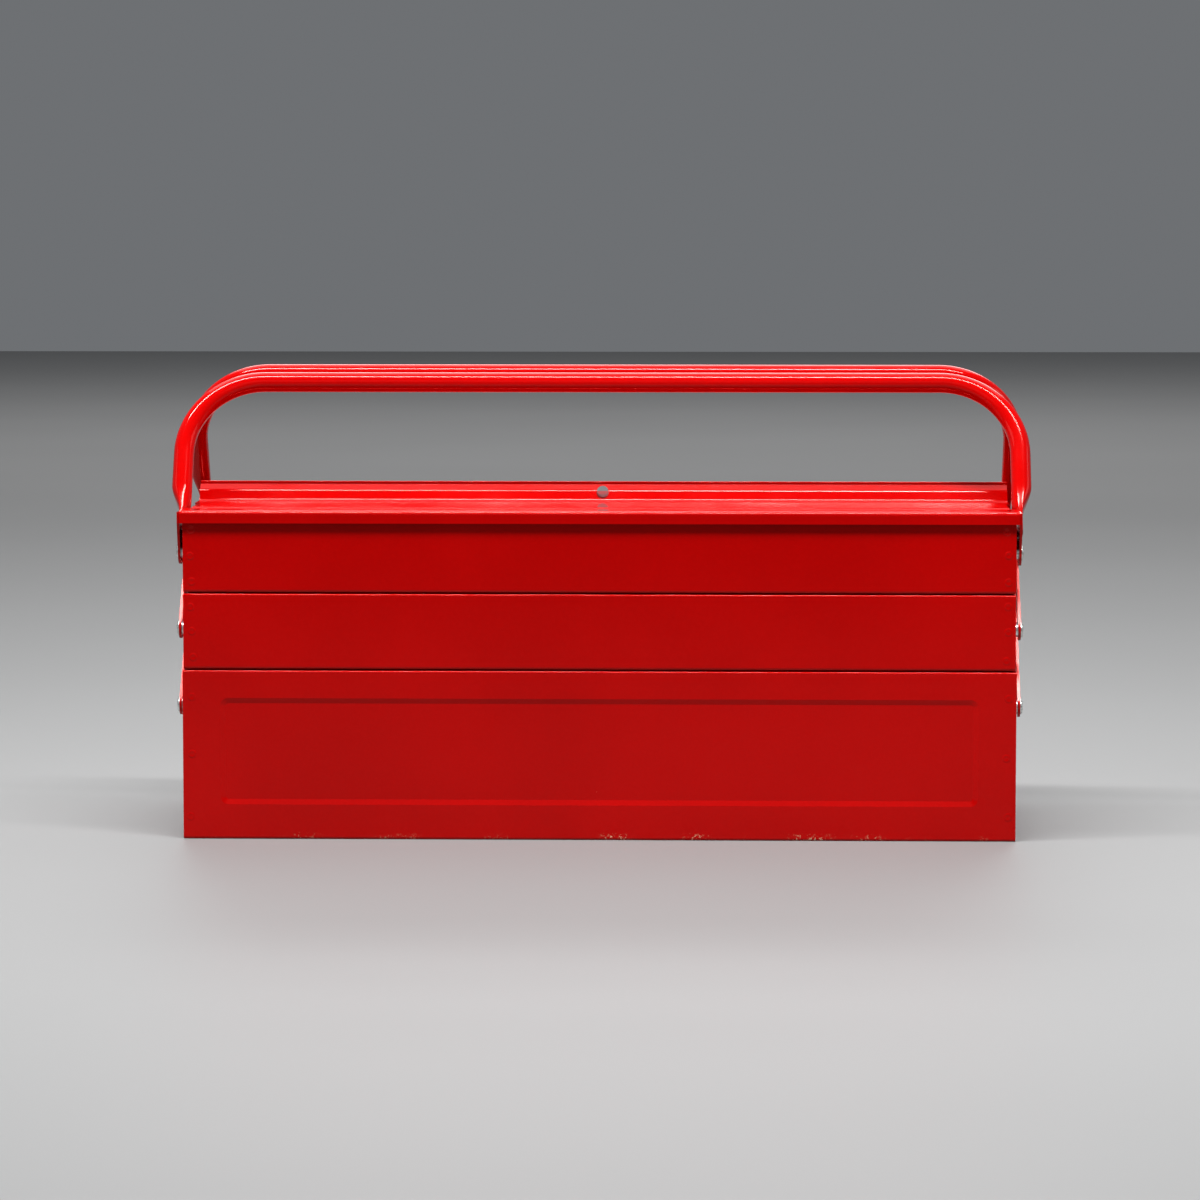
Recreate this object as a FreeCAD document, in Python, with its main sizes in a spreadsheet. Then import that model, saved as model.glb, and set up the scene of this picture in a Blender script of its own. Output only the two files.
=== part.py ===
import FreeCAD, Part
import math
import os

import Sketcher

# Cantilever toolbox in steel sheet: a base box, four half-depth trays in two tiers, and two lids.
# Each half (front and rear) swings outwards on parallel arms at both ends, and its lid tips over.
# Millimetres. Origin: middle of the base's underside. X runs along the box, -Y is the front, Z is up.

SIZES = {
    "sheet": 1.0,              # thickness of the body, tray and lid sheet
    "bend": 1.6,               # outer radius of a folded corner
    "rim_round": 0.8,          # roll of a hemmed rim
    "hem": 7.0,                # height of the hem folded inside each rim
    "flange": 12.0,            # depth of the flanges on the end plates
    "base_length": 530.0,
    "base_depth": 200.0,
    "base_height": 108.0,
    "panel_margin": 23.8,      # recessed panel, distance from the ends of the base
    "panel_low": 22.2,
    "panel_high": 90.4,
    "panel_bevel": 3.4,
    "panel_corner": 5.0,
    "panel_recess": 0.7,
    "tray_length": 528.6,
    "tray_depth": 99.0,
    "tray_inset": 1.0,         # from the middle plane to a tray's inner wall
    "middle_height": 48.0,
    "top_height": 47.6,
    "tier_rise": 49.0,         # height from one tier to the next
    "tier_gap": 1.0,
    "pivot_setback": 88.0,     # outer pivots, distance from the middle plane
    "pivot_height": 85.0,      # pivots on the base
    "arm_step": 40.0,          # distance between the pivots along one tier
    "arm_radius": 6.5,
    "arm_sheet": 1.6,
    "arm_plane": 266.2,        # inner face of every arm, from the middle of the box
    "side_play": 0.05,
    "hinge_play": 0.06,
    "loose_play": 0.09,        # at the pivots that close each linkage
    "shank_radius": 2.5,
    "rivet_head_radius": 4.75,
    "rivet_head_height": 1.5,
    "rivet_tail_radius": 3.4,
    "rivet_tail_height": 1.0,
    "spacer_radius": 4.5,
    "crank": 12.0,             # from a top tray pivot to the pin of the lid link
    "link_plane": 264.7,
    "link_sheet": 1.2,
    "link_radius": 4.0,
    "pin_radius": 2.0,
    "pin_head_radius": 3.6,
    "pin_head_height": 1.2,
    "lid_length": 532.4,
    "lid_front": 101.2,        # inner face of the lid's skirt, from the middle plane
    "lid_skirt_low": 202.0,
    "lid_under": 209.0,        # underside of the front strip
    "lid_joggle": 0.5,
    "joggle_setback": 73.0,
    "ridge_start": 9.4,
    "ridge_shoulder": 5.3,
    "ridge_shoulder_top": 216.6,
    "ridge_edge": 1.5,
    "ridge_edge_top": 220.8,
    "ridge_flange_low": 211.0,
    "ridge_inset": 2.5,        # lid ends behind the notch, in from the skirt's ends
    "notch_inset": 5.0,
    "notch_front": 74.0,
    "notch_rear": 38.0,
    "lid_fold": 2.2,
    "lock_hole_radius": 4.0,
    "lock_hole_height": 216.0,
    "ear_radius": 8.0,
    "ear_rear": 52.0,
    "ear_top": 209.0,
    "ear_step": 197.5,         # lower top beside the handle's leg
    "ear_step_setback": 74.6,
    "handle_tube_radius": 6.5,
    "handle_tube_wall": 1.2,
    "handle_spread": 270.0,    # legs, distance from the middle of the box
    "handle_bend": 51.0,
    "handle_foot_setback": 67.4,
    "handle_foot_height": 193.0,
    "handle_rise": 108.0,      # along the leaning legs
    "handle_lean": 28.4,
    "handle_pressed": 10.0,    # length of the flattened leg ends
    "handle_taper": 8.0,       # from there up to the half-pressed section, in the lid's notch
    "handle_rounding": 8.0,    # and on up to the round tube
    "handle_pressed_sheet": 2.4,
    "handle_pressed_width": 17.0,
    "handle_pressed_inside": 267.8,
    "handle_half_sheet": 8.6,
    "handle_half_width": 14.6,
    "handle_half_inside": 264.9,
    "rear_handle_lift": 4.0,   # the rear grip stands above the front one
    "rear_ridge_lift": 2.6,    # and so does the rear lid's ridge
}
HALVES = {"front": 1, "rear": -1}
SIDES = {"left": -1, "right": 1}

doc = FreeCAD.newDocument("cantilever_toolbox")
sheet = doc.addObject("Spreadsheet::Sheet", "Sizes")
for row, (alias, value) in enumerate(SIZES.items(), start=1):
    sheet.set(f"A{row}", alias)
    sheet.set(f"B{row}", str(value))
    sheet.setAlias(f"B{row}", alias)
doc.recompute()

exported = []


def keep(item, label):
    """Give a finished sub-part its own label and list it for export."""
    item.Label = label
    exported.append(item)
    return item


def place(item, across, deep, high, turn=0.0, lean=0.0):
    """Bind a sub-part's place; turn is about Z, and lean tips its top towards +Y before the turn."""
    spin = FreeCAD.Rotation(FreeCAD.Vector(0, 0, 1), turn)
    tip = FreeCAD.Rotation(FreeCAD.Vector(1, 0, 0), -lean)
    item.Placement = FreeCAD.Placement(FreeCAD.Vector(), spin.multiply(tip))
    for axis, formula in zip("xyz", (across, deep, high)):
        item.setExpression(f"Placement.Base.{axis}", formula)


def turn_of(half):
    """The rear half is the front half turned half a turn about Z."""
    return 0.0 if HALVES[half] > 0 else 180.0


# ---------------------------------------------------------------- sketches and features


def add_sketch(body, role, offset="0"):
    """A sketch on one of the body's own origin planes."""
    sketch = body.newObject("Sketcher::SketchObject", "outline")
    plane = next(item for item in body.Origin.OriginFeatures if item.Role == role)
    sketch.AttachmentSupport = (plane, [""])
    sketch.MapMode = "FlatFace"
    sketch.setExpression("AttachmentOffset.Base.z", offset)
    return sketch


def pin_point(sketch, shape, end, across, up):
    """Hold one sketch point at two formulas measured from the sketch's origin."""
    here = sketch.getPoint(shape, end)
    for kind, formula, now in (("DistanceX", across, here.x), ("DistanceY", up, here.y)):
        held = sketch.addConstraint(Sketcher.Constraint(kind, -1, 1, shape, end, now))
        sketch.setExpression(f"Constraints[{held}]", formula)


def add_polyline(sketch, corners, closed=True):
    """Straight runs through corners, each a pair of formulas; their first places are on a circle."""
    count = len(corners)
    first = sketch.GeometryCount
    guess = []
    for step in range(count):
        angle = 2 * math.pi * step / count
        guess.append(FreeCAD.Vector(50 * math.cos(angle), 50 * math.sin(angle), 0))
    lines = count if closed else count - 1
    for step in range(lines):
        sketch.addGeometry(Part.LineSegment(guess[step], guess[(step + 1) % count]), False)
    for step in range(lines):
        following = (step + 1) % count
        if following < lines:
            sketch.addConstraint(Sketcher.Constraint("Coincident", first + step, 2, first + following, 1))
        pin_point(sketch, first + step, 1, *corners[step])
    if not closed:
        pin_point(sketch, first + lines - 1, 2, *corners[-1])


def add_circle(sketch, across, up, radius):
    """A circle whose centre and radius are formulas."""
    circle = Part.Circle(FreeCAD.Vector(1, 1, 0), FreeCAD.Vector(0, 0, 1), 1.0)
    shape = sketch.addGeometry(circle, False)
    pin_point(sketch, shape, 3, across, up)
    held = sketch.addConstraint(Sketcher.Constraint("Radius", shape, 1.0))
    sketch.setExpression(f"Constraints[{held}]", radius)


def add_pad(body, sketch, length, symmetric=False, backwards=False):
    """Extrude a sketch along its normal, both ways from it, or backwards."""
    pad = body.newObject("PartDesign::Pad", "pad")
    pad.Profile = sketch
    pad.SideType = "Symmetric" if symmetric else "One side"
    pad.Reversed = backwards
    pad.setExpression("Length", length)
    body.Tip = pad
    doc.recompute()
    return pad


def add_pocket(body, sketch, length, backwards):
    """Cut a sketch out of the body, and make sure that it did cut."""
    before = body.Shape.Volume
    pocket = body.newObject("PartDesign::Pocket", "pocket")
    pocket.Profile = sketch
    pocket.Type = "Length"
    pocket.Reversed = backwards
    pocket.setExpression("Length", length)
    body.Tip = pocket
    doc.recompute()
    if body.Shape.Volume > before - 1e-3:
        raise RuntimeError(f"a pocket of {body.Name} cut nothing")
    return pocket


def add_fillet(body, radius, wanted):
    """Round the edges of the body's last feature that wanted() picks."""
    last = body.Tip
    names = [f"Edge{number}" for number, edge in enumerate(last.Shape.Edges, start=1) if wanted(edge)]
    if not names:
        raise RuntimeError(f"a fillet of {body.Name} found no edge")
    fillet = body.newObject("PartDesign::Fillet", "fillet")
    fillet.Base = (last, names)
    fillet.setExpression("Radius", radius)
    body.Tip = fillet
    doc.recompute()
    return fillet


def runs_along(edge, axis):
    """Whether a straight edge lies along X, Y or Z."""
    if not isinstance(edge.Curve, Part.Line):
        return False
    return abs(getattr(edge.Curve.Direction, axis)) > 0.999


def fold(body, sketch, corners, radius):
    """Round the long edges that stand on the given corners of a YZ sketch."""
    spots = [sketch.Geometry[corner].StartPoint for corner in corners]

    def wanted(edge):
        if not runs_along(edge, "x"):
            return False
        place_on_edge = edge.Vertexes[0].Point
        return any(math.hypot(place_on_edge.y - spot.x, place_on_edge.z - spot.y) < 0.01 for spot in spots)

    add_fillet(body, radius, wanted)


# ---------------------------------------------------------------- base and trays


def channel(body, half_depth, height, length):
    """A sheet channel with hemmed rims: front wall, floor and rear wall, lying along X."""
    side, hem_low = f"({half_depth})", f"({height}) - Sizes.hem"
    skin, double = "Sizes.sheet", "2 * Sizes.sheet"
    corners = [
        (f"-{side}", "0"),
        (side, "0"),
        (side, height),
        (f"{side} - {double}", height),
        (f"{side} - {double}", hem_low),
        (f"{side} - {skin}", hem_low),
        (f"{side} - {skin}", skin),
        (f"-{side} + {skin}", skin),
        (f"-{side} + {skin}", hem_low),
        (f"-{side} + {double}", hem_low),
        (f"-{side} + {double}", height),
        (f"-{side}", height),
    ]
    sketch = add_sketch(body, "YZ_Plane")
    add_polyline(sketch, corners)
    add_pad(body, sketch, length, symmetric=True)
    fold(body, sketch, (0, 1), "Sizes.bend")
    fold(body, sketch, (6, 7), "Sizes.bend - Sizes.sheet")
    fold(body, sketch, (2, 3, 10, 11), "Sizes.rim_round")


def rounded_rectangle(body, offset, shrink):
    """The recessed panel's outline, drawn in by shrink times the bevel, on a plane facing the front."""
    sketch = add_sketch(body, "XZ_Plane", offset)
    inward = f"{shrink} * Sizes.panel_bevel"
    reach = f"(Sizes.base_length / 2 - Sizes.panel_margin - {inward})"
    low, high = f"(Sizes.panel_low + {inward})", f"(Sizes.panel_high - {inward})"
    round_off = f"(Sizes.panel_corner - 0.8 * {inward})"

    draw_in = shrink * SIZES["panel_bevel"]
    wide = SIZES["base_length"] / 2 - SIZES["panel_margin"] - draw_in
    bottom, top = SIZES["panel_low"] + draw_in, SIZES["panel_high"] - draw_in
    radius = SIZES["panel_corner"] - 0.8 * draw_in

    corners = [(1, -1), (1, 1), (-1, 1), (-1, -1)]
    for number, (right, up) in enumerate(corners):
        middle = FreeCAD.Vector(right * (wide - radius), (top - radius) if up > 0 else (bottom + radius), 0)
        begin = (number - 1) * math.pi / 2
        circle = Part.Circle(middle, FreeCAD.Vector(0, 0, 1), radius)
        arc = sketch.addGeometry(Part.ArcOfCircle(circle, begin, begin + math.pi / 2), False)
        vertical = f"{high} - {round_off}" if up > 0 else f"{low} + {round_off}"
        pin_point(sketch, arc, 3, f"{right} * ({reach} - {round_off})", vertical)
        held = sketch.addConstraint(Sketcher.Constraint("Radius", arc, radius))
        sketch.setExpression(f"Constraints[{held}]", round_off)
    for number in range(4):
        following = (number + 1) % 4
        start = sketch.getPoint(number, 2)
        end = sketch.getPoint(following, 1)
        line = sketch.addGeometry(Part.LineSegment(start, end), False)
        sketch.addConstraint(Sketcher.Constraint("Tangent", number, 2, line, 1))
        sketch.addConstraint(Sketcher.Constraint("Tangent", line, 2, following, 1))
    return sketch


def press_panel(body, outward):
    """Press a bevelled panel into one long wall: metal added inside, then taken away outside."""
    inside = f"{outward} * (Sizes.base_depth / 2 - Sizes.sheet)"
    outside = f"{outward} * Sizes.base_depth / 2"
    depth = f"{outward} * Sizes.panel_recess"
    for kind, face in (("PartDesign::AdditiveLoft", inside), ("PartDesign::SubtractiveLoft", outside)):
        before = body.Shape.Volume
        wide = rounded_rectangle(body, face, 0)
        narrow = rounded_rectangle(body, f"{face} - {depth}", 1)
        loft = body.newObject(kind, "pressing")
        loft.Profile = wide
        loft.Sections = [narrow]
        loft.Ruled = True
        body.Tip = loft
        doc.recompute()
        if abs(body.Shape.Volume - before) < 1:
            raise RuntimeError("a pressed panel changed nothing")


def base_shell():
    body = doc.addObject("PartDesign::Body", "base_shell")
    channel(body, "Sizes.base_depth / 2", "Sizes.base_height", "Sizes.base_length")
    for outward in (1, -1):
        press_panel(body, outward)
    place(keep(body, "base_shell"), "0", "0", "0")


def end_plate(label, half_depth, height, holes):
    """A flanged plate that closes one end; its outer face is at X = 0 and its flanges point to +X."""
    body = doc.addObject("PartDesign::Body", label)
    side, hem_low = f"({half_depth})", f"({height}) - Sizes.hem"
    skin, double = "Sizes.sheet", "2 * Sizes.sheet"
    plate = add_sketch(body, "YZ_Plane")
    add_polyline(plate, [
        (f"-{side} + {skin}", skin),
        (f"{side} - {skin}", skin),
        (f"{side} - {skin}", hem_low),
        (f"{side} - {double}", hem_low),
        (f"{side} - {double}", height),
        (f"-{side} + {double}", height),
        (f"-{side} + {double}", hem_low),
        (f"-{side} + {skin}", hem_low),
    ])
    add_pad(body, plate, "Sizes.flange")
    hollow = add_sketch(body, "YZ_Plane", skin)
    add_polyline(hollow, [
        (f"-{side} + {double}", double),
        (f"{side} - {double}", double),
        (f"{side} - {double}", f"{height} + {skin}"),
        (f"-{side} + {double}", f"{height} + {skin}"),
    ])
    add_pocket(body, hollow, "Sizes.flange", backwards=True)
    hem = add_sketch(body, "YZ_Plane", skin)
    hem_end = f"({side} - 2 * {double})"
    add_polyline(hem, [
        (f"-{hem_end}", hem_low),
        (hem_end, hem_low),
        (hem_end, height),
        (f"-{hem_end}", height),
    ])
    add_pad(body, hem, skin)
    bores = add_sketch(body, "YZ_Plane")
    for across, up in holes:
        add_circle(bores, across, up, "Sizes.shank_radius")
    add_pocket(body, bores, "2 * Sizes.sheet", backwards=True)
    fold(body, plate, (0, 1), "Sizes.bend - Sizes.sheet")

    def folded(edge):
        on_plate = all(abs(vertex.Point.x) < 1e-6 for vertex in edge.Vertexes)
        low = all(vertex.Point.z < SIZES["bend"] + 1e-6 for vertex in edge.Vertexes)
        return on_plate and (runs_along(edge, "z") and edge.Length > SIZES["hem"] + 1 or low)

    add_fillet(body, "Sizes.sheet / 2", folded)
    return keep(body, label)


def base_ends():
    """Two plates with four rivet holes each: an outer and an inner pivot for each half."""
    inner = "(Sizes.pivot_setback - Sizes.arm_step)"
    holes = []
    for sign in (-1, 1):
        for reach in ("Sizes.pivot_setback", inner):
            holes.append((f"{sign} * {reach}", "Sizes.pivot_height"))
    for side, sign in SIDES.items():
        plate = end_plate(f"base_end_{side}", "Sizes.base_depth / 2", "Sizes.base_height", holes)
        place(plate, f"{sign} * Sizes.base_length / 2", "0", "0", turn=180.0 if sign > 0 else 0.0)


TIERS = {
    "middle": {
        "height": "Sizes.middle_height",
        "bottom": "Sizes.base_height + Sizes.tier_gap",
        "pivots": "Sizes.pivot_height + Sizes.tier_rise",
    },
    "top": {
        "height": "Sizes.top_height",
        "bottom": "Sizes.base_height + Sizes.tier_gap + Sizes.tier_rise",
        "pivots": "Sizes.pivot_height + 2 * Sizes.tier_rise",
    },
}
TRAY_CENTRE = "(Sizes.tray_inset + Sizes.tray_depth / 2)"


def pivot_reach(step):
    """Distance of a pivot from the middle plane: step 0 is the outer one."""
    return f"(Sizes.pivot_setback - {step} * Sizes.arm_step)"


def tray(half, tier):
    """A pan with hemmed rims and its two end plates."""
    facing = HALVES[half]
    sizes = TIERS[tier]
    name = f"{half}_{tier}"
    centre = f"{-facing} * {TRAY_CENTRE}"
    pan = doc.addObject("PartDesign::Body", f"{name}_pan")
    channel(pan, "Sizes.tray_depth / 2", sizes["height"], "Sizes.tray_length")
    place(keep(pan, f"{name}_pan"), "0", centre, sizes["bottom"])
    for side, sign in SIDES.items():
        turned = -1 if sign > 0 else 1
        holes = []
        for step in range(3):
            across = f"{-facing * turned} * ({pivot_reach(step)} - {TRAY_CENTRE})"
            holes.append((across, f"{sizes['pivots']} - ({sizes['bottom']})"))
        plate = end_plate(f"{name}_end_{side}", "Sizes.tray_depth / 2", sizes["height"], holes)
        place(plate, f"{sign} * Sizes.tray_length / 2", centre, sizes["bottom"],
              turn=180.0 if sign > 0 else 0.0)


# ---------------------------------------------------------------- rivets, spacers and pins


def turned_piece(name, steps):
    """A round piece about the X axis, from (start, end, radius) steps."""
    body = doc.addObject("PartDesign::Body", name)
    for start, end, radius in steps:
        sketch = add_sketch(body, "YZ_Plane", start)
        add_circle(sketch, "0", "0", radius)
        add_pad(body, sketch, f"({end}) - ({start})")
    return body


def round_head(body, radius, at_x):
    """Dome a head by rounding the rim of its flat end."""
    def wanted(edge):
        flat = isinstance(edge.Curve, Part.Circle) and abs(edge.Curve.Center.x - at_x) < 1e-6
        return flat and edge.Curve.Radius > SIZES["shank_radius"]

    add_fillet(body, radius, wanted)


def rivet(name, half_length):
    """A domed rivet through an end plate, a spacer and an arm; X = 0 is the plate's outer face."""
    grip = f"(Sizes.arm_plane + Sizes.arm_sheet + Sizes.side_play - {half_length} / 2)"
    tail = "-Sizes.sheet"
    body = turned_piece(name, [
        (f"{tail} - Sizes.rivet_tail_height", tail, "Sizes.rivet_tail_radius"),
        (tail, grip, "Sizes.shank_radius"),
        (grip, f"{grip} + Sizes.rivet_head_height", "Sizes.rivet_head_radius"),
    ])
    length = SIZES[half_length.split(".")[1]]
    head_top = SIZES["arm_plane"] + SIZES["arm_sheet"] + SIZES["side_play"] - length / 2
    round_head(body, "0.9 * Sizes.rivet_head_height", head_top + SIZES["rivet_head_height"])
    return body


def spacer(name, half_length):
    """A ring that holds an arm clear of an end plate."""
    body = doc.addObject("PartDesign::Body", name)
    sketch = add_sketch(body, "YZ_Plane")
    add_circle(sketch, "0", "0", "Sizes.spacer_radius")
    add_circle(sketch, "0", "0", "Sizes.shank_radius")
    add_pad(body, sketch, f"Sizes.arm_plane - Sizes.side_play - {half_length} / 2")
    return body


def link_pin():
    """The pin of a lid link, headed outside; X = 0 is the inner face of the link."""
    seat = "Sizes.arm_plane + Sizes.arm_sheet - Sizes.link_plane"
    body = turned_piece("link_pin", [
        ("0", seat, "Sizes.pin_radius"),
        (seat, f"{seat} + Sizes.pin_head_height", "Sizes.pin_head_radius"),
    ])
    top = SIZES["arm_plane"] + SIZES["arm_sheet"] - SIZES["link_plane"] + SIZES["pin_head_height"]
    round_head(body, "0.8 * Sizes.pin_head_height", top)
    return body


def group(label, template, face, spots):
    """Copies of one fastener at both ends of the box, kept together as separate solids."""
    copies = []
    for sign in SIDES.values():
        for deep, high in spots:
            link = doc.addObject("App::Link", "copy")
            link.LinkedObject = template
            turn = 0.0 if sign > 0 else 180.0
            place(link, f"{sign} * {face}", deep, high, turn=turn)
            copies.append(link)
    compound = doc.addObject("Part::Compound", label)
    compound.Links = copies
    doc.recompute()
    return keep(compound, label)


def fasteners():
    """Rivets and spacers of the base and of each tray."""
    for owner, face in (("base", "Sizes.base_length"), ("tray", "Sizes.tray_length")):
        shapes = {"rivets": rivet(f"{owner}_rivet", face), "spacers": spacer(f"{owner}_spacer", face)}
        for kind, template in shapes.items():
            if owner == "base":
                spots = []
                for facing in HALVES.values():
                    for step in range(2):
                        spots.append((f"{-facing} * {pivot_reach(step)}", "Sizes.pivot_height"))
                group(f"base_{kind}", template, f"{face} / 2", spots)
                continue
            for half, facing in HALVES.items():
                for tier, sizes in TIERS.items():
                    spots = [(f"{-facing} * {pivot_reach(step)}", sizes["pivots"]) for step in range(3)]
                    group(f"{half}_{tier}_{kind}", template, f"{face} / 2", spots)


# ---------------------------------------------------------------- arms and lid links

ARM_SPAN = "sqrt(Sizes.arm_step ^ 2 + Sizes.tier_rise ^ 2)"
ARM_LEAN = math.degrees(math.atan2(SIZES["arm_step"], SIZES["tier_rise"]))
CRANK_REACH = f"Sizes.crank * Sizes.arm_step / {ARM_SPAN}"
CRANK_RISE = f"Sizes.crank * Sizes.tier_rise / {ARM_SPAN}"


def strap(label, length, radius, thickness, holes):
    """A flat strap with round ends; its first pivot is the origin and it stands along Z."""
    body = doc.addObject("PartDesign::Body", label)
    blade = add_sketch(body, "YZ_Plane")
    add_polyline(blade, [
        (f"-{radius}", "0"),
        (radius, "0"),
        (radius, length),
        (f"-{radius}", length),
    ])
    add_pad(body, blade, thickness)
    for up in ("0", length):
        end = add_sketch(body, "YZ_Plane")
        add_circle(end, "0", up, radius)
        add_pad(body, end, thickness)
    bores = add_sketch(body, "YZ_Plane")
    for up, bore in holes:
        add_circle(bores, "0", up, bore)
    add_pocket(body, bores, thickness, backwards=True)
    return keep(body, label)


def arm_face(sign, half):
    """X of the face that a strap's own X = 0 side lies on."""
    outer = sign * HALVES[half] < 0
    reach = "(Sizes.arm_plane + Sizes.arm_sheet)" if outer else "Sizes.arm_plane"
    return f"{sign} * {reach}"


def arms(half):
    """Long, lower and upper straps at each end of one half."""
    running = "Sizes.shank_radius + Sizes.hinge_play"
    loose = "Sizes.shank_radius + Sizes.loose_play"
    kinds = {
        "long": {
            "length": f"2 * {ARM_SPAN}",
            "holes": [("0", running), (ARM_SPAN, running), (f"2 * {ARM_SPAN}", running)],
            "foot": (pivot_reach(0), "Sizes.pivot_height"),
        },
        "lower": {
            "length": ARM_SPAN,
            "holes": [("0", running), (ARM_SPAN, loose)],
            "foot": (pivot_reach(1), "Sizes.pivot_height"),
        },
        "upper": {
            "length": f"{ARM_SPAN} + Sizes.crank",
            "holes": [("0", running), (ARM_SPAN, loose), (f"{ARM_SPAN} + Sizes.crank", "Sizes.pin_radius")],
            "foot": (pivot_reach(0), TIERS["middle"]["pivots"]),
        },
    }
    for kind, arm in kinds.items():
        for side, sign in SIDES.items():
            piece = strap(f"{half}_{kind}_arm_{side}", arm["length"], "Sizes.arm_radius",
                          "Sizes.arm_sheet", arm["holes"])
            deep, high = arm["foot"]
            place(piece, arm_face(sign, half), f"{-HALVES[half]} * {deep}", high,
                  turn=turn_of(half), lean=ARM_LEAN)


def lid_links(half):
    """Level links from the tips of the upper arms to the lid's ears, behind both."""
    running = "Sizes.pin_radius + Sizes.hinge_play"
    loose = "Sizes.pin_radius + Sizes.loose_play"
    facing = HALVES[half]
    high = f"{TIERS['top']['pivots']} + {CRANK_RISE}"
    for side, sign in SIDES.items():
        piece = strap(f"{half}_lid_link_{side}", "Sizes.arm_step", "Sizes.link_radius",
                      "Sizes.link_sheet", [("0", loose), ("Sizes.arm_step", running)])
        outer = sign * facing < 0
        reach = "(Sizes.link_plane + Sizes.link_sheet)" if outer else "Sizes.link_plane"
        deep = f"{-facing} * ({pivot_reach(0)} - {CRANK_REACH})"
        place(piece, f"{sign} * {reach}", deep, high, turn=turn_of(half), lean=90.0)


def link_pins(half, template):
    """One pin fixed in each ear and one in the tip of each upper arm."""
    facing = HALVES[half]
    high = f"{TIERS['top']['pivots']} + {CRANK_RISE}"
    for step, label in enumerate((f"{half}_ear_pins", f"{half}_arm_pins")):
        deep = f"{-facing} * ({pivot_reach(step)} - {CRANK_REACH})"
        group(label, template, "Sizes.link_plane", [(deep, high)])


# ---------------------------------------------------------------- lids, ears and handles


def lid(half):
    """Folded lid: skirt, front strip, flat panel, and a ridge with a flange at the middle plane."""
    body = doc.addObject("PartDesign::Body", f"{half}_lid")
    skin = "Sizes.sheet"
    ridge_top = "Sizes.ridge_edge_top" + (" + Sizes.rear_ridge_lift" if half == "rear" else "")
    under = [
        ("-Sizes.lid_front", "Sizes.lid_skirt_low"),
        ("-Sizes.lid_front", "Sizes.lid_under"),
        ("-Sizes.joggle_setback - Sizes.lid_joggle", "Sizes.lid_under"),
        ("-Sizes.joggle_setback + Sizes.lid_joggle", "Sizes.lid_under + Sizes.lid_joggle"),
        ("-Sizes.ridge_start", "Sizes.lid_under + Sizes.lid_joggle"),
        ("-Sizes.ridge_shoulder", "Sizes.ridge_shoulder_top"),
        ("-Sizes.ridge_edge", f"{ridge_top} - {skin}"),
        ("-Sizes.ridge_edge", "Sizes.ridge_flange_low"),
    ]
    over = [
        (f"-Sizes.ridge_edge + {skin}", "Sizes.ridge_flange_low"),
        (f"-Sizes.ridge_edge + {skin}", f"{ridge_top} + 0.9 * {skin}"),
        (f"-Sizes.ridge_shoulder - 0.7 * {skin}", f"Sizes.ridge_shoulder_top + 0.7 * {skin}"),
        (f"-Sizes.ridge_start - 0.56 * {skin}", f"Sizes.lid_under + Sizes.lid_joggle + {skin}"),
        ("-Sizes.joggle_setback + 0.8 * Sizes.lid_joggle", f"Sizes.lid_under + Sizes.lid_joggle + {skin}"),
        ("-Sizes.joggle_setback - 1.2 * Sizes.lid_joggle", f"Sizes.lid_under + {skin}"),
        (f"-Sizes.lid_front - {skin}", f"Sizes.lid_under + {skin}"),
        (f"-Sizes.lid_front - {skin}", "Sizes.lid_skirt_low"),
    ]
    sketch = add_sketch(body, "YZ_Plane")
    add_polyline(sketch, under + over)
    add_pad(body, sketch, "Sizes.lid_length", symmetric=True)
    fold(body, sketch, (14, 11), "Sizes.lid_fold")
    fold(body, sketch, (1,), "Sizes.lid_fold - Sizes.sheet")
    fold(body, sketch, (10,), "2 * Sizes.lid_fold")
    fold(body, sketch, (9,), "0.8 * Sizes.sheet")

    reach = "Sizes.lid_length / 2"
    for sign in SIDES.values():
        edge = f"{sign} * ({reach} + 1)"
        inner = f"{sign} * ({reach} - Sizes.ridge_inset)"
        notch = f"{sign} * ({reach} - Sizes.notch_inset)"
        end_cut = add_sketch(body, "XY_Plane", "Sizes.lid_skirt_low")
        add_polyline(end_cut, [
            (edge, "-Sizes.notch_front"),
            (notch, "-Sizes.notch_front"),
            (notch, "-Sizes.notch_rear"),
            (inner, "-Sizes.notch_rear + Sizes.ridge_inset"),
            (inner, "0"),
            (edge, "0"),
        ])
        add_pocket(body, end_cut, "Sizes.ridge_edge_top - Sizes.lid_skirt_low + 5", backwards=True)
        skirt = add_sketch(body, "YZ_Plane", f"{sign} * ({reach} - Sizes.sheet / 2)")
        add_polyline(skirt, [
            ("-Sizes.lid_front", "Sizes.lid_skirt_low"),
            ("-Sizes.notch_front", "Sizes.lid_skirt_low"),
            ("-Sizes.notch_front", "Sizes.lid_under + Sizes.sheet / 2"),
            ("-Sizes.lid_front", "Sizes.lid_under + Sizes.sheet / 2"),
        ])
        add_pad(body, skirt, "Sizes.sheet", symmetric=True)

    lock_hole = add_sketch(body, "XZ_Plane")
    add_circle(lock_hole, "0", "Sizes.lock_hole_height", "Sizes.lock_hole_radius")
    add_pocket(body, lock_hole, "2 * Sizes.ridge_start", backwards=True)
    place(keep(body, f"{half}_lid"), "0", "0", "0", turn=turn_of(half))


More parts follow.
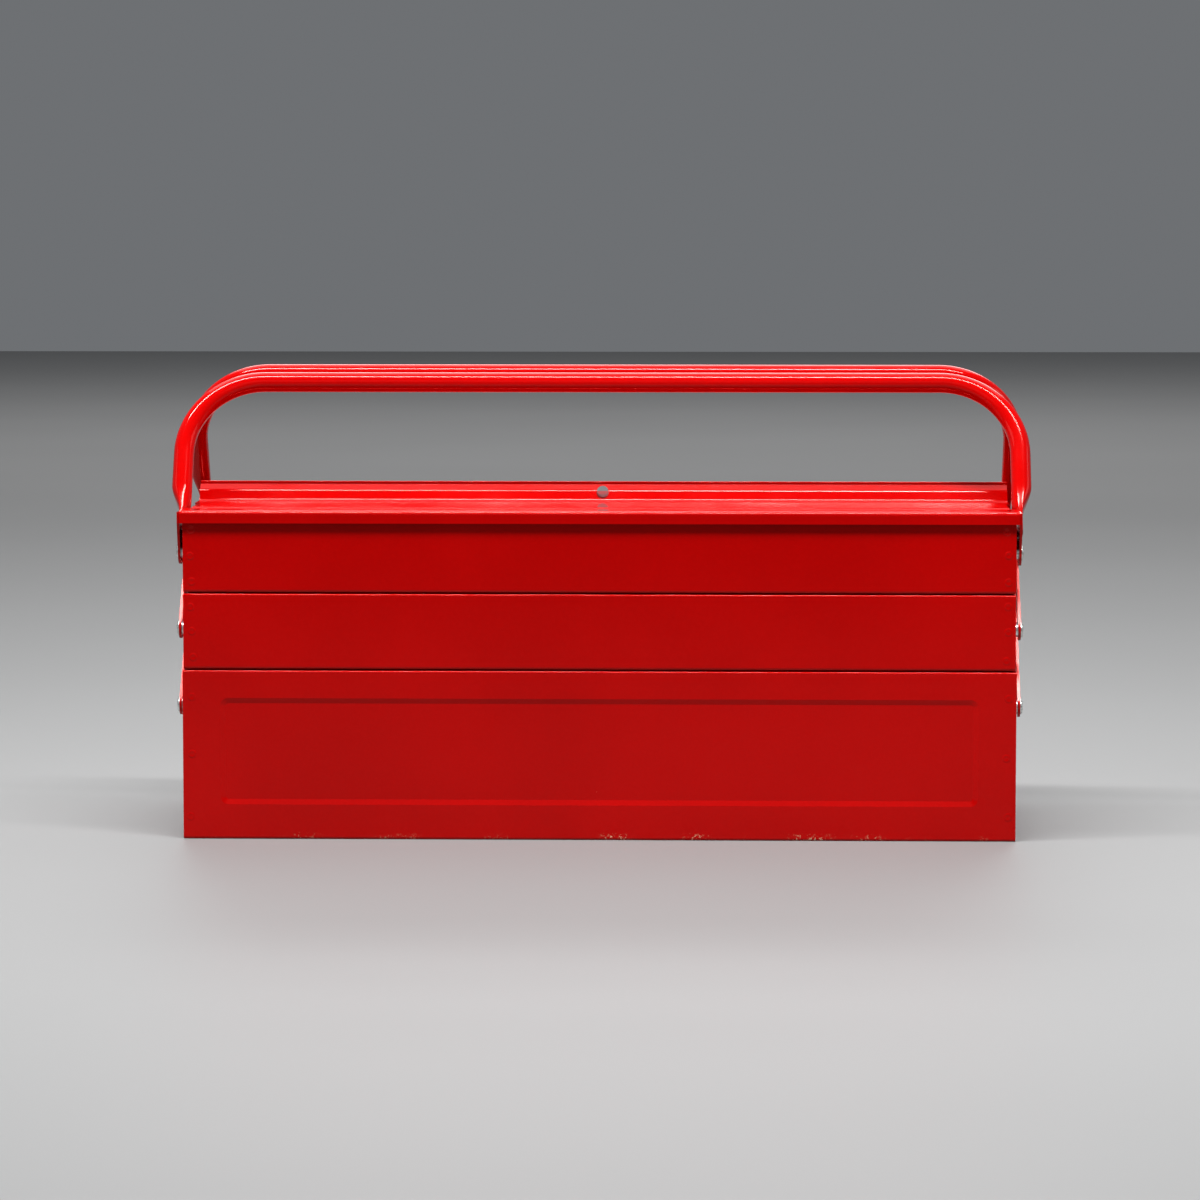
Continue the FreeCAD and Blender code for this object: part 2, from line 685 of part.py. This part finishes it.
def ears(half):
    """Plates welded outside the lid's end skirts, each hung on the top tray's outer rivet."""
    facing = HALVES[half]
    pivot_deep, pivot_high = pivot_reach(0), TIERS["top"]["pivots"]
    for side, sign in SIDES.items():
        label = f"{half}_ear_{side}"
        body = doc.addObject("PartDesign::Body", label)
        top, step = f"Sizes.ear_top - ({pivot_high})", f"Sizes.ear_step - ({pivot_high})"
        outline = add_sketch(body, "YZ_Plane")
        add_polyline(outline, [
            ("-Sizes.ear_radius", "0"),
            ("0.55 * Sizes.ear_radius", "-0.835 * Sizes.ear_radius"),
            (f"{pivot_deep} - Sizes.ear_rear - 2", "0.4 * Sizes.ear_radius"),
            (f"{pivot_deep} - Sizes.ear_rear", "0.6 * Sizes.ear_radius + 2"),
            (f"{pivot_deep} - Sizes.ear_rear", step),
            (f"{pivot_deep} - Sizes.ear_step_setback", step),
            (f"{pivot_deep} - Sizes.ear_step_setback", top),
            (f"{pivot_deep} - Sizes.lid_front", top),
            (f"{pivot_deep} - Sizes.lid_front", f"Sizes.lid_skirt_low - ({pivot_high})"),
        ])
        add_pad(body, outline, "Sizes.arm_sheet")
        lobe = add_sketch(body, "YZ_Plane")
        add_circle(lobe, "0", "0", "Sizes.ear_radius")
        add_pad(body, lobe, "Sizes.arm_sheet")
        bores = add_sketch(body, "YZ_Plane")
        add_circle(bores, "0", "0", "Sizes.shank_radius + Sizes.hinge_play")
        add_circle(bores, CRANK_REACH, CRANK_RISE, "Sizes.pin_radius")
        add_pocket(body, bores, "Sizes.arm_sheet", backwards=True)
        place(keep(body, label), arm_face(sign, half), f"{-facing} * {pivot_deep}", pivot_high,
              turn=turn_of(half))


LEG_LOW = "(Sizes.handle_pressed + Sizes.handle_taper + Sizes.handle_rounding)"


def pressed_outline(body, height, sign, stage):
    """The flat-sided oval of a tube end, pressed or half pressed."""
    sketch = add_sketch(body, "XY_Plane", height)
    thick, wide = f"Sizes.handle_{stage}_sheet", f"Sizes.handle_{stage}_width"
    half_thick = SIZES[f"handle_{stage}_sheet"] / 2
    flat = SIZES[f"handle_{stage}_width"] / 2 - half_thick
    middle = sign * (SIZES[f"handle_{stage}_inside"] + half_thick)
    centre_x = f"{sign} * (Sizes.handle_{stage}_inside + {thick} / 2)"
    arcs = []
    for end, begin in ((1, 0.0), (-1, math.pi)):
        circle = Part.Circle(FreeCAD.Vector(middle, end * flat, 0), FreeCAD.Vector(0, 0, 1), half_thick)
        arc = sketch.addGeometry(Part.ArcOfCircle(circle, begin, begin + math.pi), False)
        centre_y = f"{end} * ({wide} - {thick}) / 2"
        pin_point(sketch, arc, 3, centre_x, centre_y)
        held = sketch.addConstraint(Sketcher.Constraint("Radius", arc, half_thick))
        sketch.setExpression(f"Constraints[{held}]", f"{thick} / 2")
        arcs.append(arc)
    for start, end in (arcs, reversed(arcs)):
        side = Part.LineSegment(sketch.getPoint(start, 2), sketch.getPoint(end, 1))
        line = sketch.addGeometry(side, False)
        sketch.addConstraint(Sketcher.Constraint("Tangent", start, 2, line, 1))
        sketch.addConstraint(Sketcher.Constraint("Tangent", line, 2, end, 1))
    return sketch


def add_leg_end(body, sign):
    """Close one leg: the tube tapers through the lid's notch to a flat oval that lies against the ear."""
    round_end = add_sketch(body, "XY_Plane", LEG_LOW)
    add_circle(round_end, f"{sign} * Sizes.handle_spread", "0", "Sizes.handle_tube_radius")
    half_end = pressed_outline(body, "Sizes.handle_pressed + Sizes.handle_taper", sign, "half")
    flat_end = pressed_outline(body, "Sizes.handle_pressed", sign, "pressed")
    taper = body.newObject("PartDesign::AdditiveLoft", "taper")
    taper.Profile = round_end
    taper.Sections = [half_end, flat_end]
    taper.Ruled = True
    body.Tip = taper
    doc.recompute()
    foot = pressed_outline(body, "0", sign, "pressed")
    add_pad(body, foot, "Sizes.handle_pressed")


def handle(half):
    """A bent tube whose legs end pressed flat; its own plane is XZ, with the leg ends at Z = 0."""
    body = doc.addObject("PartDesign::Body", f"{half}_handle")
    spread, radius, rise = SIZES["handle_spread"], SIZES["handle_bend"], SIZES["handle_rise"]
    low = SIZES["handle_pressed"] + SIZES["handle_taper"] + SIZES["handle_rounding"]
    leg_high = "Sizes.handle_rise - Sizes.handle_bend"
    bar_reach = "(Sizes.handle_spread - Sizes.handle_bend)"
    runs = [
        ((-spread, low), (-spread, rise - radius), ("-Sizes.handle_spread", LEG_LOW),
         ("-Sizes.handle_spread", leg_high)),
        ((radius - spread, rise), (spread - radius, rise), (f"-{bar_reach}", "Sizes.handle_rise"),
         (bar_reach, "Sizes.handle_rise")),
        ((spread, rise - radius), (spread, low), ("Sizes.handle_spread", leg_high),
         ("Sizes.handle_spread", LEG_LOW)),
    ]
    path = add_sketch(body, "XZ_Plane")
    for start, end, start_at, end_at in runs:
        line = Part.LineSegment(FreeCAD.Vector(*start, 0), FreeCAD.Vector(*end, 0))
        run = path.addGeometry(line, False)
        pin_point(path, run, 1, *start_at)
        pin_point(path, run, 2, *end_at)
    bends = [(-1, math.pi / 2, (1, 1), (0, 2)), (1, 0.0, (2, 1), (1, 2))]
    for sign, begin, first_joint, last_joint in bends:
        middle = FreeCAD.Vector(sign * (spread - radius), rise - radius, 0)
        circle = Part.Circle(middle, FreeCAD.Vector(0, 0, 1), radius)
        arc = path.addGeometry(Part.ArcOfCircle(circle, begin, begin + math.pi / 2), False)
        path.addConstraint(Sketcher.Constraint("Coincident", arc, 1, *first_joint))
        path.addConstraint(Sketcher.Constraint("Coincident", arc, 2, *last_joint))
        held = path.addConstraint(Sketcher.Constraint("DistanceX", -1, 1, arc, 3, middle.x))
        path.setExpression(f"Constraints[{held}]", f"{sign} * {bar_reach}")

    section = add_sketch(body, "XY_Plane", LEG_LOW)
    add_circle(section, "-Sizes.handle_spread", "0", "Sizes.handle_tube_radius")
    add_circle(section, "-Sizes.handle_spread", "0", "Sizes.handle_tube_radius - Sizes.handle_tube_wall")
    tube = body.newObject("PartDesign::AdditivePipe", "tube")
    tube.Profile = section
    tube.Spine = path
    body.Tip = tube
    doc.recompute()
    for sign in SIDES.values():
        add_leg_end(body, sign)
    lift = "Sizes.rear_handle_lift" if half == "rear" else "0"
    place(keep(body, f"{half}_handle"), "0", f"{-HALVES[half]} * Sizes.handle_foot_setback",
          f"Sizes.handle_foot_height + {lift}", turn=turn_of(half), lean=SIZES["handle_lean"])


# ---------------------------------------------------------------- the whole box


def export_parts():
    """Check every object and sub-part, then write one STEP file for each sub-part."""
    doc.recompute()
    for item in doc.Objects:
        if {"Invalid", "Error"} & set(item.State):
            raise RuntimeError(f"{item.Label} failed: {item.State}")
    os.makedirs("parts", exist_ok=True)
    for item in exported:
        shape = item.Shape
        if shape.isNull() or not shape.isValid():
            raise RuntimeError(f"{item.Label} has no valid shape")
        shape.exportStep(f"parts/{item.Label}.step")
    print(f"{len(exported)} sub-parts written")


base_shell()
base_ends()
fasteners()
pin_template = link_pin()
for half_name in HALVES:
    for tier_name in TIERS:
        tray(half_name, tier_name)
    arms(half_name)
    lid_links(half_name)
    link_pins(half_name, pin_template)
    lid(half_name)
    ears(half_name)
    handle(half_name)
export_parts()
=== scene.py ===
"""A red cantilever toolbox: five trays, two lids and two handles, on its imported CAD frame.

Every size is in metres, and every piece's place is worked out from the frame's own boxes.
"""

from math import copysign, cos, pi, radians, sin

import bmesh
import bpy
from mathutils import Matrix, Vector


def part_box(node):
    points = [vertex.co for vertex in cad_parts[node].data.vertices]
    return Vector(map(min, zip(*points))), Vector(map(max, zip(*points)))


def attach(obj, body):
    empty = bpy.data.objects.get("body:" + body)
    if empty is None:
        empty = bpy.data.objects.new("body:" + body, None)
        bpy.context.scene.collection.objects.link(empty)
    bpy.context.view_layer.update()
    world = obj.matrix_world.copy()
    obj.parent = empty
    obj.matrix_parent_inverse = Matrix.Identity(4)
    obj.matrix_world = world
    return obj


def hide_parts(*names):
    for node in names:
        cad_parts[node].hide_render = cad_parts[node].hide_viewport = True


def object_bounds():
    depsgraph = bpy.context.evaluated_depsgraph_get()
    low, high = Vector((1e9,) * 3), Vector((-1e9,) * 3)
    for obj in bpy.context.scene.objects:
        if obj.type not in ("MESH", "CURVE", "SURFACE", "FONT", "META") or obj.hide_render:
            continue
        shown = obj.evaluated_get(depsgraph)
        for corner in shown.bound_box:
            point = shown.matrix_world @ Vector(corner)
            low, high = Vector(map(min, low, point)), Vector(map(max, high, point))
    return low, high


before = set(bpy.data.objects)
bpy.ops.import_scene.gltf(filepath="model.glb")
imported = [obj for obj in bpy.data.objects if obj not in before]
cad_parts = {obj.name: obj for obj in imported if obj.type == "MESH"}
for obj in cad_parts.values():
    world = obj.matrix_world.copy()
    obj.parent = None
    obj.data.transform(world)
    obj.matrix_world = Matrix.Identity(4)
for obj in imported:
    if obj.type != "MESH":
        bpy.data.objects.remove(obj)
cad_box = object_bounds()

MM = 0.001
SMOOTH_BELOW = radians(40)

# Colours, as linear RGB
PAINT_DEEP = (0.35, 0.0, 0.0, 1)
PAINT_BRIGHT = (0.42, 0.0002, 0.0002, 1)
PAINT_CHALK = (0.66, 0.36, 0.22, 1)
PAINT_GLINT = (1.0, 0.2, 0.18, 1)
ZINC_LIGHT = (0.78, 0.78, 0.76, 1)
ZINC_DARK = (0.52, 0.52, 0.51, 1)
FLOOR_PALE = (0.16, 0.16, 0.16, 1)
FLOOR_CLOUDED = 0.96
ROOM_TINT = (0.86, 0.9, 0.95, 1)

# Paint: sizes are those of its patterns' features
CLOUD_SIZE = 130 * MM
SPECKLE_SIZE = 1.8 * MM
SMEAR_SIZE = 50 * MM
SMEAR_ROUGHNESS = 0.07
PEEL_SIZE = 3.4 * MM
PEEL_DEPTH = 0.0005 * MM
CHIP_SIZE = 2.5 * MM
CHIPPED_ABOVE = 0.775      # noise above this is a chip in the paint
CHIP_EDGE = 0.015
CHIP_SINK = 0.6
CHALK_ROUGHNESS = 0.35
SCUFF_SIZE = 50 * MM
SCUFFED_BELOW = 5 * MM
FLECK_SIZE = 1.6 * MM
PAINT_IOR = 1.6

# Zinc plating
SPANGLE_SIZE = 1.6 * MM
SPANGLE_DEPTH = 0.01 * MM
DULL_SIZE = 0.7 * MM

# The handles, whose outline the CAD tube shares
TUBE_RADIUS = 6.5 * MM
BEND_RADIUS = 51 * MM
PRESSED_THICK = 2.4 * MM
PRESSED_WIDE = 17 * MM
PRESSED_LENGTH = 10 * MM
OUTER_TAPER = 24 * MM
INNER_TAPER = 7 * MM
LEG_LEAN = radians(28.4)
PRESSED_SQUARENESS = 0.4   # power of the cosine: lower is flatter-sided
SIDE_SHARPNESS = 2.5       # how quickly the outer taper gives way to the inner one round the tube
RING_STEPS = 56
TAPER_STEPS = 28
BEND_STEPS = 32

# Spot welds: radius and lift of an electrode mark's rings, in millimetres
WELD_MIDDLE_LIFT = 0.05
WELD_RINGS = [(0.9, 0.06), (1.5, 0.13), (1.9, 0.16), (2.3, 0.12), (2.7, 0.0), (2.7, -0.1)]
WELD_STEPS = 28
WELD_HEIGHTS = (0.14, 0.5, 0.84)    # shares of the wall's height
WELD_INSET = 0.45                   # share of the flange's width
WELD_DRIFT = 0.8 * MM

# The studio: each softbox has a place, a target, a width, a depth and watts
MIDDLE = (0, 0, 0.15)
SOFTBOXES = {
    "key": ((-0.1, -0.62, 1.95), MIDDLE, 2.6, 0.17, 128),
    "overhead": ((0.0, 0.9, 1.9), MIDDLE, 2.6, 1.5, 18),
    "front_fill": ((-0.4, -3.2, 1.3), MIDDLE, 2.4, 1.2, 3),
    "left_fill": ((-2.4, -0.6, 1.0), MIDDLE, 1.2, 1.0, 5),
    "right_fill": ((2.4, -0.2, 0.9), MIDDLE, 1.2, 1.0, 5),
    "back_fill": ((0.2, 2.2, 1.5), MIDDLE, 2.2, 0.8, 14),
    "far_floor": ((0.0, 4.6, 2.6), (0.0, 5.2, 0.0), 4.0, 3.0, 130),
}
ROOM_STRENGTH = 0.18
FLOOR_REACH = 9.0

LENS = 137.8                # millimetres, on a sensor 36 mm wide
SENSOR_WIDTH = 36.0
CAMERA_PLACE = (0.0835, -3.0, 0.410)
AIM_ACROSS = -0.0019
AIM_HEIGHT = 0.485          # share of the object's height
SIGHT_LIMIT = 60


# ---------------------------------------------------------------- finishes


class Finish:
    """A material's node tree, with short calls for adding and joining nodes."""

    def __init__(self, name):
        self.material = bpy.data.materials.new(name)
        self.material.use_nodes = True
        self.tree = self.material.node_tree
        self.shader = self.tree.nodes["Principled BSDF"]

    def feed(self, socket, value):
        """Joins another node's output to the socket, or sets the socket's own value."""
        if isinstance(value, bpy.types.NodeSocket):
            self.tree.links.new(value, socket)
        else:
            socket.default_value = value

    def add(self, kind, inputs, output, **settings):
        """The named output of a new node with these inputs."""
        node = self.tree.nodes.new(kind)
        for key, value in settings.items():
            setattr(node, key, value)
        for key, value in inputs.items():
            self.feed(node.inputs[key], value)
        return node.outputs[output]

    def place(self):
        """Object coordinates, in metres."""
        return self.add("ShaderNodeTexCoord", {}, "Object")

    def noise(self, place, size, detail=2.0, roughness=0.5):
        """Noise whose features are about size metres across, from 0 to 1."""
        inputs = {"Vector": place, "Scale": 1 / size, "Detail": detail, "Roughness": roughness}
        return self.add("ShaderNodeTexNoise", inputs, "Fac")

    def ramp(self, value, low, high, to_low=0.0, to_high=1.0):
        """The value remapped from low..high to to_low..to_high, and held beyond the ends."""
        inputs = {"Value": value, "From Min": low, "From Max": high, "To Min": to_low, "To Max": to_high}
        return self.add("ShaderNodeMapRange", inputs, "Result", interpolation_type="SMOOTHSTEP")

    def math(self, operation, first, second):
        return self.add("ShaderNodeMath", {0: first, 1: second}, "Value", operation=operation)

    def mix(self, share, first, second):
        """The first colour, with this share of the second one mixed in."""
        node = self.tree.nodes.new("ShaderNodeMix")
        node.data_type = "RGBA"
        colour_sockets = [s for s in node.inputs if s.type == "RGBA"]
        self.feed(node.inputs["Factor"], share)
        self.feed(colour_sockets[0], first)
        self.feed(colour_sockets[1], second)
        return next(s for s in node.outputs if s.type == "RGBA")

    def bump(self, height, distance):
        inputs = {"Height": height, "Distance": distance, "Strength": 1.0}
        return self.add("ShaderNodeBump", inputs, "Normal")


def red_paint(name, gloss=0.09, chipped=0.0, scuffed_below=None):
    """Glossy red powder coat, clouded and speckled, with smears, chips and a fine orange peel.

    chipped lowers the level above which the paint is chipped. Below the height scuffed_below it is
    also scuffed in patches.
    """
    finish = Finish(name)
    shader = finish.shader
    place = finish.place()
    cloud = finish.ramp(finish.noise(place, CLOUD_SIZE, detail=3.0), 0.3, 0.7, 0.0, 0.7)
    speckle = finish.ramp(finish.noise(place, SPECKLE_SIZE, detail=2.0), 0.35, 0.75, 0.0, 0.3)
    colour = finish.mix(finish.math("ADD", cloud, speckle), PAINT_DEEP, PAINT_BRIGHT)
    smears = finish.noise(place, SMEAR_SIZE, detail=4.0, roughness=0.65)
    rough = finish.ramp(smears, 0.42, 0.78, gloss, gloss + SMEAR_ROUGHNESS)

    chips = finish.noise(place, CHIP_SIZE, detail=4.0, roughness=0.7)
    chip_level = CHIPPED_ABOVE - chipped
    wear = finish.ramp(chips, chip_level, chip_level + CHIP_EDGE)
    if scuffed_below is not None:
        height = finish.add("ShaderNodeSeparateXYZ", {"Vector": place}, "Z")
        low = finish.ramp(height, scuffed_below * 0.3, scuffed_below, 1.0, 0.0)
        patches = finish.ramp(finish.noise(place, SCUFF_SIZE), 0.5, 0.62)
        flecks = finish.ramp(finish.noise(place, FLECK_SIZE, detail=4.0, roughness=0.7), 0.56, 0.6)
        scuffs = finish.math("MULTIPLY", finish.math("MULTIPLY", low, patches), flecks)
        wear = finish.math("MAXIMUM", wear, scuffs)
    colour = finish.mix(wear, colour, PAINT_CHALK)
    rough = finish.math("ADD", rough, finish.math("MULTIPLY", wear, CHALK_ROUGHNESS))

    peel = finish.noise(place, PEEL_SIZE, detail=1.5)
    relief = finish.math("SUBTRACT", peel, finish.math("MULTIPLY", wear, CHIP_SINK))
    finish.feed(shader.inputs["Base Color"], colour)
    finish.feed(shader.inputs["Roughness"], rough)
    finish.feed(shader.inputs["Normal"], finish.bump(relief, PEEL_DEPTH))
    shader.inputs["IOR"].default_value = PAINT_IOR
    shader.inputs["Specular Tint"].default_value = PAINT_GLINT
    return finish.material


def zinc_steel(name):
    """Bright zinc-plated steel, as on the rivets, with a fine spangle and dull spots."""
    finish = Finish(name)
    shader = finish.shader
    place = finish.place()
    spangle = finish.ramp(finish.noise(place, SPANGLE_SIZE, detail=3.0), 0.3, 0.7)
    dull = finish.ramp(finish.noise(place, DULL_SIZE, detail=4.0), 0.35, 0.75, 0.2, 0.42)
    finish.feed(shader.inputs["Base Color"], finish.mix(spangle, ZINC_DARK, ZINC_LIGHT))
    finish.feed(shader.inputs["Roughness"], dull)
    finish.feed(shader.inputs["Normal"], finish.bump(spangle, SPANGLE_DEPTH))
    shader.inputs["Metallic"].default_value = 1.0
    return finish.material


FINISHES = {
    "red_paint": red_paint("red_paint"),
    "red_paint_foot": red_paint("red_paint_foot", scuffed_below=SCUFFED_BELOW),
    "red_paint_arms": red_paint("red_paint_arms", gloss=0.16, chipped=0.07),
    "zinc_steel": zinc_steel("zinc_steel"),
}


def finish_of(node, slot_name):
    """The finish for a CAD node's slot: arms rub on each other, and the base rubs on the bench."""
    if node == "base_shell":
        return "red_paint_foot"
    if "_arm_" in node or "_link_" in node:
        return "red_paint_arms"
    return slot_name


def dress_frame():
    """Gives every CAD node its finish in place of its plain material."""
    for node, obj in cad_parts.items():
        for slot in obj.material_slots:
            slot_name = slot.material.name.split(".")[0]
            slot.material = FINISHES[finish_of(node, slot_name)]


def add_piece(name, mesh, body, replaced=None):
    """A smooth-shaded painted piece from a bmesh, riding on body."""
    data = bpy.data.meshes.new(name)
    mesh.to_mesh(data)
    mesh.free()
    data.materials.append(FINISHES["red_paint"])
    data.shade_smooth()
    data.set_sharp_from_angle(angle=SMOOTH_BELOW)
    piece = bpy.data.objects.new(name, data)
    bpy.context.collection.objects.link(piece)
    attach(piece, body)
    if replaced:
        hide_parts(replaced)


# ---------------------------------------------------------------- handles


def smooth_step(value):
    value = min(1.0, max(0.0, value))
    return value * value * (3 - 2 * value)


def tube_ring(centre, turn, inward, height=None):
    """One ring of a handle about centre, its plane turned by this angle about Y from level.

    Given its height up a leg, the ring is pressed: flat at the foot, where it lies on the ear. Above
    that it swells to the round tube, its inner side over a shorter length than its outer side.
    """
    outer, inner = 1.0, 1.0
    if height is not None:
        outer = smooth_step((height - PRESSED_LENGTH) / OUTER_TAPER)
        inner = smooth_step((height - PRESSED_LENGTH) / INNER_TAPER)
    ring = []
    for step in range(RING_STEPS):
        angle = 2 * pi * step / RING_STEPS
        inner_share = smooth_step((1 + SIDE_SHARPNESS * cos(angle)) / 2)
        roundness = outer + (inner - outer) * inner_share
        flat_side = copysign(abs(cos(angle)) ** PRESSED_SQUARENESS, cos(angle))
        flat_across = inward + flat_side * PRESSED_THICK / 2
        flat_along = sin(angle) * PRESSED_WIDE / 2
        across = flat_across + (TUBE_RADIUS * cos(angle) - flat_across) * roundness
        along = flat_along + (TUBE_RADIUS * sin(angle) - flat_along) * outer
        ring.append(centre + Vector((across * cos(turn), along, -across * sin(turn))))
    return ring


def handle_rings(spread, rise, inward):
    """The rings of a whole handle in its own plane, from the left foot over to the right one."""
    leg = [0.0, 0.3 * MM, 0.5 * PRESSED_LENGTH]
    leg += [PRESSED_LENGTH + OUTER_TAPER * step / TAPER_STEPS for step in range(TAPER_STEPS + 1)]
    bend_height = rise - BEND_RADIUS
    rings = [tube_ring(Vector((-spread, 0, height)), 0, inward, height) for height in leg]
    for sign in (-1, 1):
        for step in range(BEND_STEPS + 1):
            turn = pi / 4 * (1 + sign) + pi / 2 * step / BEND_STEPS
            across = sign * (spread - BEND_RADIUS) - BEND_RADIUS * cos(turn)
            centre = Vector((across, 0, bend_height + BEND_RADIUS * sin(turn)))
            rings.append(tube_ring(centre, turn, inward))
    for height in reversed(leg):
        rings.append(tube_ring(Vector((spread, 0, height)), pi, inward, height))
    return rings


def handle(half):
    """A bent tube with pressed leg ends, in place of its CAD tube, and in the CAD tube's own place."""
    node = f"{half}_handle"
    low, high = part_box(node)
    facing = -1 if half == "front" else 1
    ear_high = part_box(f"{half}_ear_right")[1]
    spread = high.x - TUBE_RADIUS
    inward = spread - ear_high.x - PRESSED_THICK / 2
    foot_height = low.z + PRESSED_WIDE / 2 * sin(LEG_LEAN)
    rise = (high.z - TUBE_RADIUS - foot_height) / cos(LEG_LEAN)
    setback = min(abs(low.y), abs(high.y)) + TUBE_RADIUS + rise * sin(LEG_LEAN)

    mesh = bmesh.new()
    loops = [[mesh.verts.new(point) for point in ring] for ring in handle_rings(spread, rise, inward)]
    for lower, upper in zip(loops, loops[1:]):
        for i in range(RING_STEPS):
            mesh.faces.new((lower[i - 1], lower[i], upper[i], upper[i - 1]))
    mesh.faces.new(loops[0])
    mesh.faces.new(loops[-1])
    bmesh.ops.recalc_face_normals(mesh, faces=mesh.faces)
    lean = Matrix.Rotation(-LEG_LEAN, 4, "X")
    spin = Matrix.Rotation(0 if half == "front" else pi, 4, "Z")
    move = Matrix.Translation((0, facing * setback, foot_height))
    bmesh.ops.transform(mesh, matrix=move @ spin @ lean, verts=mesh.verts)
    add_piece(f"{half}_bent_handle", mesh, f"{half}_lid", replaced=node)


# ---------------------------------------------------------------- spot welds


def weld_mark(mesh, centre, facing_out):
    """A shallow electrode mark on a wall: a low rim round a dished middle."""
    place = Matrix.Translation(centre) @ facing_out
    turns = [2 * pi * step / WELD_STEPS for step in range(WELD_STEPS)]
    middle = mesh.verts.new(place @ Vector((0, 0, WELD_MIDDLE_LIFT * MM)))
    loops = []
    for radius, lift in WELD_RINGS:
        ring = [Vector((radius * cos(turn) * MM, radius * sin(turn) * MM, lift * MM)) for turn in turns]
        loops.append([mesh.verts.new(place @ point) for point in ring])
    for i in range(WELD_STEPS):
        mesh.faces.new((middle, loops[0][i - 1], loops[0][i]))
        for inner, outer in zip(loops, loops[1:]):
            mesh.faces.new((inner[i - 1], outer[i - 1], outer[i], inner[i]))
    mesh.faces.new(list(reversed(loops[-1])))


def weld_marks(name, wall_node, flange_node, body):
    """Spot welds up both ends of a wall, where an end plate's flange lies behind it."""
    low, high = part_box(wall_node)
    flange_low, flange_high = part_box(flange_node)
    column = high.x - WELD_INSET * (flange_high.x - flange_low.x)
    heights = [low.z + (high.z - low.z) * share for share in WELD_HEIGHTS]
    mesh = bmesh.new()
    walls = []
    if name.startswith(("base", "front")):
        walls.append((low.y, Matrix.Rotation(pi / 2, 4, "X")))
    if name.startswith(("base", "rear")):
        walls.append((high.y, Matrix.Rotation(-pi / 2, 4, "X")))
    for depth, facing_out in walls:
        for side in (-1, 1):
            for number, height in enumerate(heights):
                # A repeatable unevenness from mark to mark, as if each were placed by hand
                drift = WELD_DRIFT * sin(7.3 * number + 2.1 * side + 31 * height)
                weld_mark(mesh, Vector((side * column + drift, depth, height + drift)), facing_out)
    add_piece(name, mesh, body)


# ---------------------------------------------------------------- studio


def plain_floor():
    """A wide, flat, pale floor."""
    finish = Finish("floor_matte")
    shade = finish.ramp(finish.noise(finish.place(), 0.6), 0.2, 0.8)
    darker = tuple(channel * FLOOR_CLOUDED for channel in FLOOR_PALE[:3]) + (1,)
    finish.feed(finish.shader.inputs["Base Color"], finish.mix(shade, darker, FLOOR_PALE))
    finish.shader.inputs["Roughness"].default_value = 0.55
    corners = [(x * FLOOR_REACH, y * FLOOR_REACH, 0) for x, y in ((-1, -1), (1, -1), (1, 1), (-1, 1))]
    mesh = bpy.data.meshes.new("floor")
    mesh.from_pydata(corners, [], [(0, 1, 2, 3)])
    mesh.materials.append(finish.material)
    floor = bpy.data.objects.new("floor", mesh)
    bpy.context.collection.objects.link(floor)


def softbox(name, place, target, width, depth, watts):
    """A rectangular area light at place, facing target."""
    lamp = bpy.data.lights.new(name, "AREA")
    lamp.shape = "RECTANGLE"
    lamp.size, lamp.size_y = width, depth
    lamp.energy = watts
    holder = bpy.data.objects.new(name, lamp)
    bpy.context.collection.objects.link(holder)
    holder.location = place
    toward = Vector(target) - Vector(place)
    holder.rotation_euler = toward.to_track_quat("-Z", "Y").to_euler()


def studio():
    """A long, bright key light high in front, a broad soft one high behind, and weak fill all round."""
    world = bpy.data.worlds.new("studio")
    world.use_nodes = True
    background = world.node_tree.nodes["Background"]
    background.inputs["Color"].default_value = ROOM_TINT
    background.inputs["Strength"].default_value = ROOM_STRENGTH
    bpy.context.scene.world = world
    for name, (place, target, width, depth, watts) in SOFTBOXES.items():
        softbox(name, place, target, width, depth, watts)


def camera():
    """A long lens a little above the box and a little right of its middle."""
    lens = bpy.data.cameras.new("camera")
    lens.lens = LENS
    lens.sensor_width = SENSOR_WIDTH
    lens.clip_end = SIGHT_LIMIT
    holder = bpy.data.objects.new("camera", lens)
    bpy.context.collection.objects.link(holder)
    holder.location = CAMERA_PLACE
    aim = Vector((AIM_ACROSS, 0, AIM_HEIGHT * cad_box[1][2]))
    holder.rotation_euler = (aim - holder.location).to_track_quat("-Z", "Y").to_euler()
    bpy.context.scene.camera = holder
    bpy.context.scene.view_settings.view_transform = "Standard"


dress_frame()
weld_marks("base_weld_marks", "base_shell", "base_end_right", "base")
for half in ("front", "rear"):
    handle(half)
    for tier in ("middle", "top"):
        walls = f"{half}_{tier}"
        weld_marks(f"{walls}_weld_marks", f"{walls}_pan", f"{walls}_end_right", f"{walls}_tray")
plain_floor()
studio()
camera()
